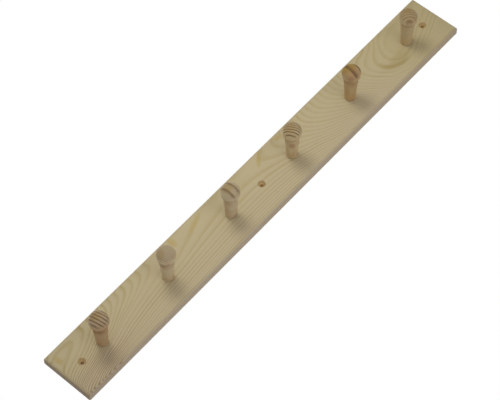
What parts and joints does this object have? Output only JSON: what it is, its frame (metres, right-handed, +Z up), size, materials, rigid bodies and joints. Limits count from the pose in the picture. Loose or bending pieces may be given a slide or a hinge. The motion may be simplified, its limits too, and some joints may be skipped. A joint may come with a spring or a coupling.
{
  "type": "wall coat rack",
  "caption": "Flat pine rail with rounded front edges, a row of turned ball-head pegs glued into through sockets, and countersunk holes for screwing it to a wall.",
  "frame": {"origin": "middle of the board's back face, on the wall", "axes": "+X along the board, +Y into the wall, +Z up, pegs pointing along -Y"},
  "size_m": [0.7, 0.0752, 0.075],
  "materials": {
    "board_pine": "planed and sanded bare pine, matt",
    "peg_pine": "turned and sanded bare pine, matt"
  },
  "bodies": {
    "root": {"rail_board": "board_pine", "peg_1": "peg_pine", "peg_2": "peg_pine", "peg_3": "peg_pine", "peg_4": "peg_pine", "peg_5": "peg_pine", "peg_6": "peg_pine"}
  },
  "joints": []
}
